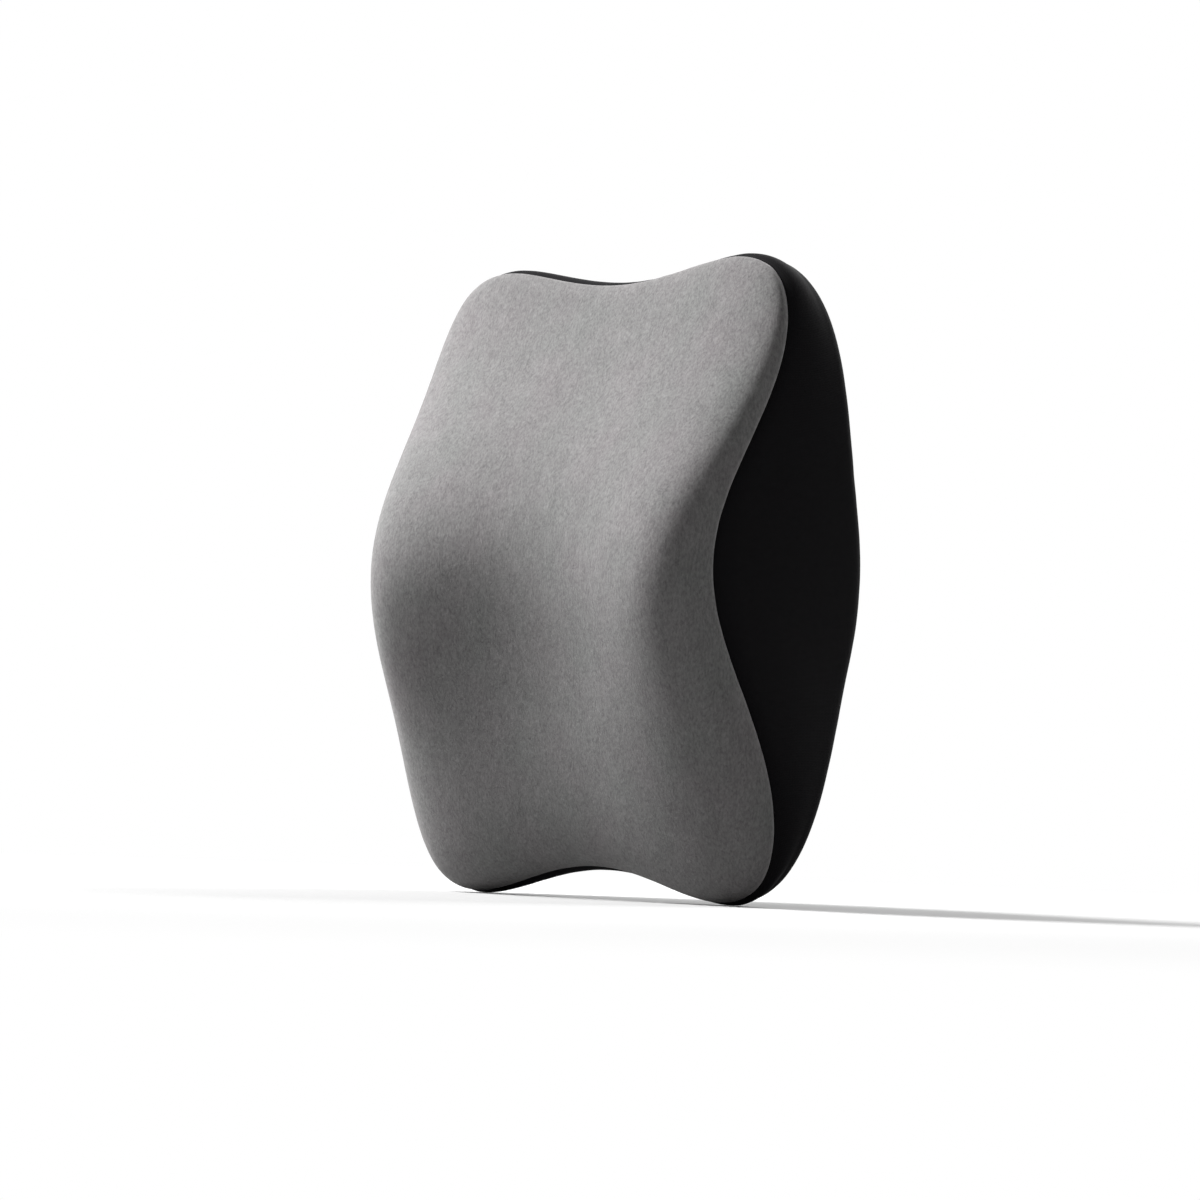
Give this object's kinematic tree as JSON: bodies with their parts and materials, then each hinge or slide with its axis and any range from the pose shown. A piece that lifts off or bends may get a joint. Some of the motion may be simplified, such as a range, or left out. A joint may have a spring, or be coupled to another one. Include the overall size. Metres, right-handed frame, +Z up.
{
  "type": "car neck pillow",
  "caption": "Contoured car headrest pillow in a suede front and black knit gusset, with a foam core, a zipped back and a buckled elastic headrest strap.",
  "frame": {"origin": "middle of the soft ridge on the back of the cover, under the buckle, where the strap crosses it", "axes": "+Z up, the front that the neck leans on faces -Y, and the back faces +Y towards the headrest"},
  "size_m": [0.2268, 0.1317, 0.2804],
  "materials": {
    "suede_velour": "short brushed pile",
    "black_knit": "smooth fine knit",
    "white_lining": "thin stretch jersey",
    "memory_foam": "moulded foam skin",
    "zip_tape": "woven tape",
    "moulded_black": "moulded, satin",
    "black_zip_metal": "black enamel",
    "elastic_webbing": "ribbed woven elastic"
  },
  "bodies": {
    "pillow": {"front_panel": "suede_velour", "side_band": "black_knit", "back_panel_upper": "black_knit", "back_panel_lower": "black_knit", "inner_liner": "white_lining", "foam_core": "memory_foam", "zip_tape_upper": "zip_tape", "zip_tape_lower": "zip_tape", "zip_teeth_upper": "moulded_black", "zip_teeth_lower": "moulded_black", "zip_bottom_stop": "moulded_black", "zip_top_stop_upper": "moulded_black", "zip_top_stop_lower": "moulded_black", "strap_left": "elastic_webbing", "strap_right": "elastic_webbing", "strap_patch_left": "black_knit", "strap_patch_right": "black_knit", "buckle_socket": "moulded_black"},
    "slider": {"zip_slider": "black_zip_metal"},
    "pull": {"zip_pull": "black_zip_metal"},
    "plug": {"buckle_plug": "moulded_black"},
    "keeper": {"strap_keeper": "moulded_black"}
  },
  "joints": [
    {"name": "zip_slide", "type": "slide", "parent": "pillow", "child": "slider", "axis": [-1, 0, 0], "range_m": [0, 0.165], "deforming": ["zip_teeth_upper", "zip_teeth_lower"]},
    {"name": "pull_hinge", "type": "hinge", "parent": "slider", "child": "pull", "pos_m": [0.08347, -0.01723, -0.07954], "axis": [0, -0.3241, -0.946], "range_deg": [0, 180]},
    {"name": "buckle_release", "type": "slide", "parent": "pillow", "child": "plug", "axis": [1, 0, 0], "range_m": [0, 0.021], "deforming": ["strap_right"]},
    {"name": "keeper_slide", "type": "slide", "parent": "pillow", "child": "keeper", "axis": [1, 0, 0], "range_m": [-0.0045, 0.006]}
  ]
}
